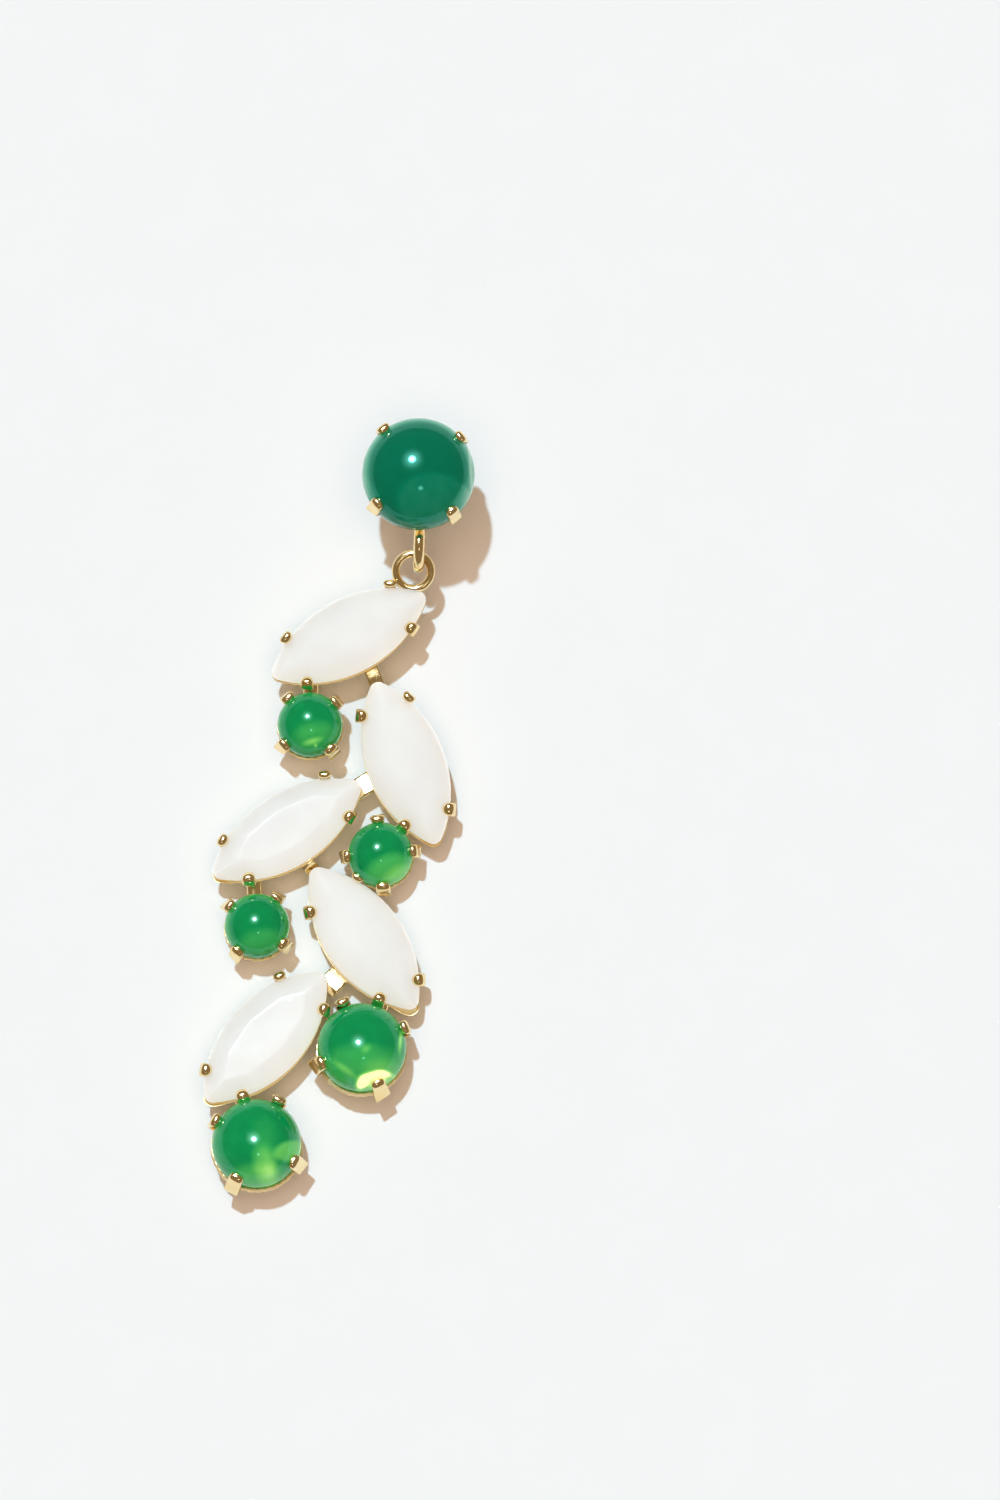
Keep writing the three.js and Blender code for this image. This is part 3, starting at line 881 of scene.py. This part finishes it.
def painted_light(name, points, radius):
    """The painted light at each point of a green stone's surface: painted pools of light, a painted rim
    reflection and an overall lift, for its colour and glow.
    """
    across = points[:, :2] @ unit(LOW_SIDE + 90) / radius
    up = points[:, :2] @ unit(LOW_SIDE + 180) / radius
    edge = smooth_step(*EDGE_RISE, np.hypot(across, up)) * smooth_step(*EDGE_UP, up)
    painted_amount = PAINTED_LIGHT_PER_MM * radius + PAINTED_RIM_REFLECTION[name] * edge
    for x, y, long, wide, turn, bright, softness in PAINTED_GLOWS[name]:
        along, aside = unit(turn)
        u = ((across - x) * along + (up - y) * aside) / long
        v = ((up - y) * along - (across - x) * aside) / wide
        painted_amount += bright * (1 - smooth_step(1 - softness, 1 + softness, np.hypot(u, v)))
    return painted_amount


# ---- the earring ----------------------------------------------------------------------------------

gold = gold_plated_brass()
opal = {polish: white_opal_glass(polish) for polish in POLISH}
# The paler stops of both green glasses show the painted light and the painted rim reflection.
dark_green = green_opal_glass(
    "dark_green_glass", depth_mm=2.0, sheen="#74e6d8",
    stops=[(0.0, "#005e42"), (0.3, "#016e50"), (0.55, "#3a8a6c"), (1.0, "#88ab98")],
)
green = green_opal_glass(
    "green_glass", depth_mm=1.5, sheen="#98e8d4",
    stops=[
        (0.0, "#04663a"), (0.1, "#048446"), (0.3, "#3aa552"), (0.6, "#6fc25c"), (0.85, "#a4dd78"),
        (1.0, "#fafdb4"),
    ],
)
dice = random.Random(11)


def shown_in_gold(name, part, matrix, replaced):
    """Puts a piece of the metal in the frame."""
    return shown(name, part, matrix, gold, replaced)


for row in NAVETTES:
    polish = row["polish"]
    glass = turned(narrowed(navette_glass(POLISH[polish]["edge"]), row["slim"]), row["turn"])
    place = place_of(row, STONE["navette"]["depth"])
    stone = shown(f"{row['name']}_stone", glass, place, opal[polish], row["name"])
    store(stone, "painted_glow", painted_glow_amount(glass[0], row["turn"], row["slim"]))
    metal, satin = setting("navette", row["turn"], dice, row["tip"], row["claws"], row["slim"])
    piece = shown_in_gold(f"{row['name']}_setting", metal, place_of(row), "drop_setting")
    store(piece, "satin", satin)

for row in [*CABOCHONS, TOP]:
    cut = row["cut"]
    if row is TOP:
        material, slot, replaced = dark_green, "dark_green_glass", "top_setting"
    else:
        material, slot, replaced = green, "green_glass", "drop_setting"
    glass = cabochon_glass(cut, CRESTS[row["name"]])
    place = place_of(row, STONE[cut]["depth"])
    stone = shown(f"{row['name']}_stone", glass, place, material, row["name"])
    store(stone, "painted_light", painted_light(row["name"], glass[0], STONE[cut]["long"]))
    metal, satin = setting(cut, row["turn"], dice)
    piece = shown_in_gold(f"{row['name']}_setting", metal, place_of(row), replaced)
    store(piece, "satin", satin)

for number, (upper, lower, bend) in enumerate(zip(NAVETTES, NAVETTES[1:], BENDS), 1):
    at = np.array([lower["x"], lower["y"]]) + STONE["navette"]["long"] * unit(lower["turn"])
    _, gap = way_to_navette(upper, *at)
    height = BAR["height"] + (upper["rise"] + lower["rise"]) / 2
    ends = (-BAR["into"], gap + BAR["into"])
    fold = gap * bend["fold"]
    rows = [
        (ends[0], -BAR["sinks"] * bend["slope"]), (fold - BAR["turn"], -BAR["turn"] * bend["slope"]),
        (fold, 0), (ends[1], 0),
    ]
    shape = strip([(u, v, bend["wide"], BAR["thick"], bend["square"]) for u, v in rows])
    place = (
        from_ring(*at, height)
        @ leaning(bend["way"], bend["lean"])
        @ Matrix.Rotation(rad(lower["turn"]), 4, "Z")
        @ Matrix.Translation((0, bend["side"], 0))
    )
    shown_in_gold(f"bar_{number}", shape, place, "drop_setting")

for row in CABOCHONS:
    angle, distance = way_to_navette(NAVETTES[row["on"]], row["x"], row["y"])
    start = STONE[row["cut"]]["long"] - SOLDER["into"]
    end = distance + SOLDER["into"]
    shape = strip([
        (u, 0, SOLDER["width"], SOLDER["thick"], SOLDER["square"])
        for u in (start, start + SOLDER["corner"], end - SOLDER["corner"], end)
    ])
    place = (
        from_ring(row["x"], row["y"], SOLDER["height"] + row["rise"])
        @ Matrix.Rotation(rad(angle), 4, "Z")
    )
    shown_in_gold(f"{row['name']}_solder", shape, place, "drop_setting")

ring_place = from_ring(0, 0, RING["height"]) @ Matrix.Rotation(rad(RING["pitch"]), 4, "X")
shown_in_gold("drop_ring", wire_ring(RING["radius"], RING["wire"]), ring_place, "drop_setting")

loop_place = (
    from_ring(0, LOOP["y"], LOOP["height"])
    @ Matrix.Rotation(rad(LOOP["turn"]), 4, "Z")
    @ Matrix.Rotation(rad(90), 4, "X")
)
shown_in_gold("top_loop", wire_ring(LOOP["radius"], LOOP["wire"]), loop_place, "top_setting")

pad_z = TOP["rise"] - POST["pad_thick"]
corner = POST["corner"]
post_rows = rounded([
    (2 * corner, 0), (POST["tip"], 0), (POST["radius"], POST["chamfer"]),
    (POST["radius"], pad_z - 5 * corner), (POST["radius"], pad_z - corner),
    (POST["radius"] + 2 * corner, pad_z), (POST["pad"] - corner, pad_z), (POST["pad"], pad_z + corner),
    (POST["pad"], TOP["rise"] + POST["into"]),
])
post = stacked([np.c_[circle(r, POST_SIDES), np.full(POST_SIDES, z)] for r, z in post_rows])
shown_in_gold("ear_post", post, from_ring(TOP["x"], TOP["y"], 0), "top_setting")

# ---- board, light and camera ----------------------------------------------------------------------

# Half of the board's side, in metres.
BOARD_HALF = 2.5

board_mesh = bpy.data.meshes.new("board")
corners = [(BOARD_HALF * x, BOARD_HALF * y, 0) for x, y in ((-1, -1), (1, -1), (1, 1), (-1, 1))]
board_mesh.from_pydata(corners, [], [(0, 1, 2, 3)])
board_mesh.materials.append(white_board())
board = bpy.data.objects.new("board", board_mesh)
bpy.context.scene.collection.objects.link(board)


def towards(azimuth, zenith):
    """The direction of something at an azimuth from X and an angle from straight up."""
    return Vector((*(math.sin(rad(zenith)) * unit(azimuth)), math.cos(rad(zenith))))


def sun(name, azimuth, zenith, spread, strength, colour):
    """A lamp far away, as wide in the sky as its spread."""
    light = bpy.data.lights.new(name, "SUN")
    light.angle = rad(spread)
    light.energy = strength
    light.color = colour
    lamp = bpy.data.objects.new(name, light)
    lamp.rotation_euler = towards(azimuth, zenith).to_track_quat("Z", "Y").to_euler()
    bpy.context.scene.collection.objects.link(lamp)
    return lamp


sun("key_lamp", KEY_AZIMUTH, KEY_ZENITH, spread=2.4, strength=2.46, colour=(0.58, 0.838, 1.0))
fill = sun("ceiling_fill", LOW_SIDE, zenith=3, spread=60, strength=1.3, colour=(1.0, 0.725, 0.508))
fill.visible_glossy = False


def glow(tree, sight, way, reach, core, power, strength):
    """A round glow in the sky: `strength` within `core` of its middle, down to none at `reach`."""
    near = add(tree, "ShaderNodeVectorMath", {1: tuple(way)}, {0: (sight, "Generated")},
               operation="DOT_PRODUCT")
    rise = add(tree, "ShaderNodeMapRange",
               {"From Min": math.cos(rad(reach)), "From Max": math.cos(rad(core))},
               {"Value": (near, "Value")})
    falloff = add(tree, "ShaderNodeMath", {1: power}, {0: (rise, "Result")}, operation="POWER")
    return add(tree, "ShaderNodeMath", {1: strength}, {0: (falloff, "Value")}, operation="MULTIPLY")


# Reflections show a dim room with the key's soft box, its bright middle, and a small low lamp. The
# room alone lights what is matt, so that the lamps' light isn't counted twice.
SOFT_BOX = {"reach": 26, "core": 3, "power": 6, "strength": 8.5}
BOX_MIDDLE = {"reach": 7, "core": 3.0, "power": 2.4, "strength": 70}
LOW_LAMP = {"reach": 5, "core": 1.5, "power": 1.5, "strength": 6}
LOW_LAMP_ZENITH = 22.6
LOW_LAMP_AZIMUTH = 293.5

world = bpy.data.worlds.new("studio")
world.use_nodes = True
world.node_tree.nodes.clear()
sky = world.node_tree
sight = add(sky, "ShaderNodeTexCoord")
ray = add(sky, "ShaderNodeLightPath")
key_way = towards(KEY_AZIMUTH, KEY_ZENITH)
glows = [
    glow(sky, sight, key_way, **SOFT_BOX), glow(sky, sight, key_way, **BOX_MIDDLE),
    glow(sky, sight, towards(LOW_LAMP_AZIMUTH, LOW_LAMP_ZENITH), **LOW_LAMP),
]
both = add(sky, "ShaderNodeMath", links={0: (glows[0], "Value"), 1: (glows[1], "Value")}, operation="ADD")
all_glows = add(sky, "ShaderNodeMath", links={0: (both, "Value"), 1: (glows[2], "Value")}, operation="ADD")
mirrored = add(sky, "ShaderNodeMath", links={0: (all_glows, "Value"), 1: (ray, "Is Glossy Ray")},
               operation="MULTIPLY")
room = add(sky, "ShaderNodeBackground", {"Color": (0.182, 0.131, 0.110, 1), "Strength": 1.0})
dim_room = add(sky, "ShaderNodeBackground", {"Color": (0.235, 0.176, 0.112, 1), "Strength": 1.0})
rooms = add(sky, "ShaderNodeMixShader", links={
    0: (ray, "Is Glossy Ray"), 1: (room, "Background"), 2: (dim_room, "Background"),
})
lamps = add(sky, "ShaderNodeBackground", {"Color": (1, 1, 1, 1)}, {"Strength": (mirrored, "Value")})
seen = add(sky, "ShaderNodeAddShader", links={0: (rooms, "Shader"), 1: (lamps, "Background")})
add(sky, "ShaderNodeOutputWorld", links={"Surface": (seen, "Shader")})
bpy.context.scene.world = world

# The camera looks down at the board, a little from the low end's side, and turned about its axis.
CAMERA = {"target": (11.862, 8.690, 3.0), "distance": 700, "tilt": 6.5, "turn": 13.5, "lens": 190.7}
right = Vector((*unit(CAMERA["turn"]), 0))
level_up = Vector((*unit(CAMERA["turn"] + 90), 0))
back = math.cos(rad(CAMERA["tilt"])) * Vector((0, 0, 1)) - math.sin(rad(CAMERA["tilt"])) * level_up
up = back.cross(right)
camera_data = bpy.data.cameras.new("camera")
camera_data.lens = CAMERA["lens"]
camera_data.sensor_width = 36
camera_data.clip_start = 0.05
camera_data.clip_end = 20
camera = bpy.data.objects.new("camera", camera_data)
axes = Matrix((right, up, back)).transposed().to_4x4()
middle = (cad_box[0] + cad_box[1]) / 2
target = Vector((middle.x, middle.y, 0)) + Vector(CAMERA["target"]) * MM
axes.translation = target + back * CAMERA["distance"] * MM
camera.matrix_world = axes
bpy.context.scene.collection.objects.link(camera)
bpy.context.scene.camera = camera
bpy.context.scene.view_settings.view_transform = "Standard"
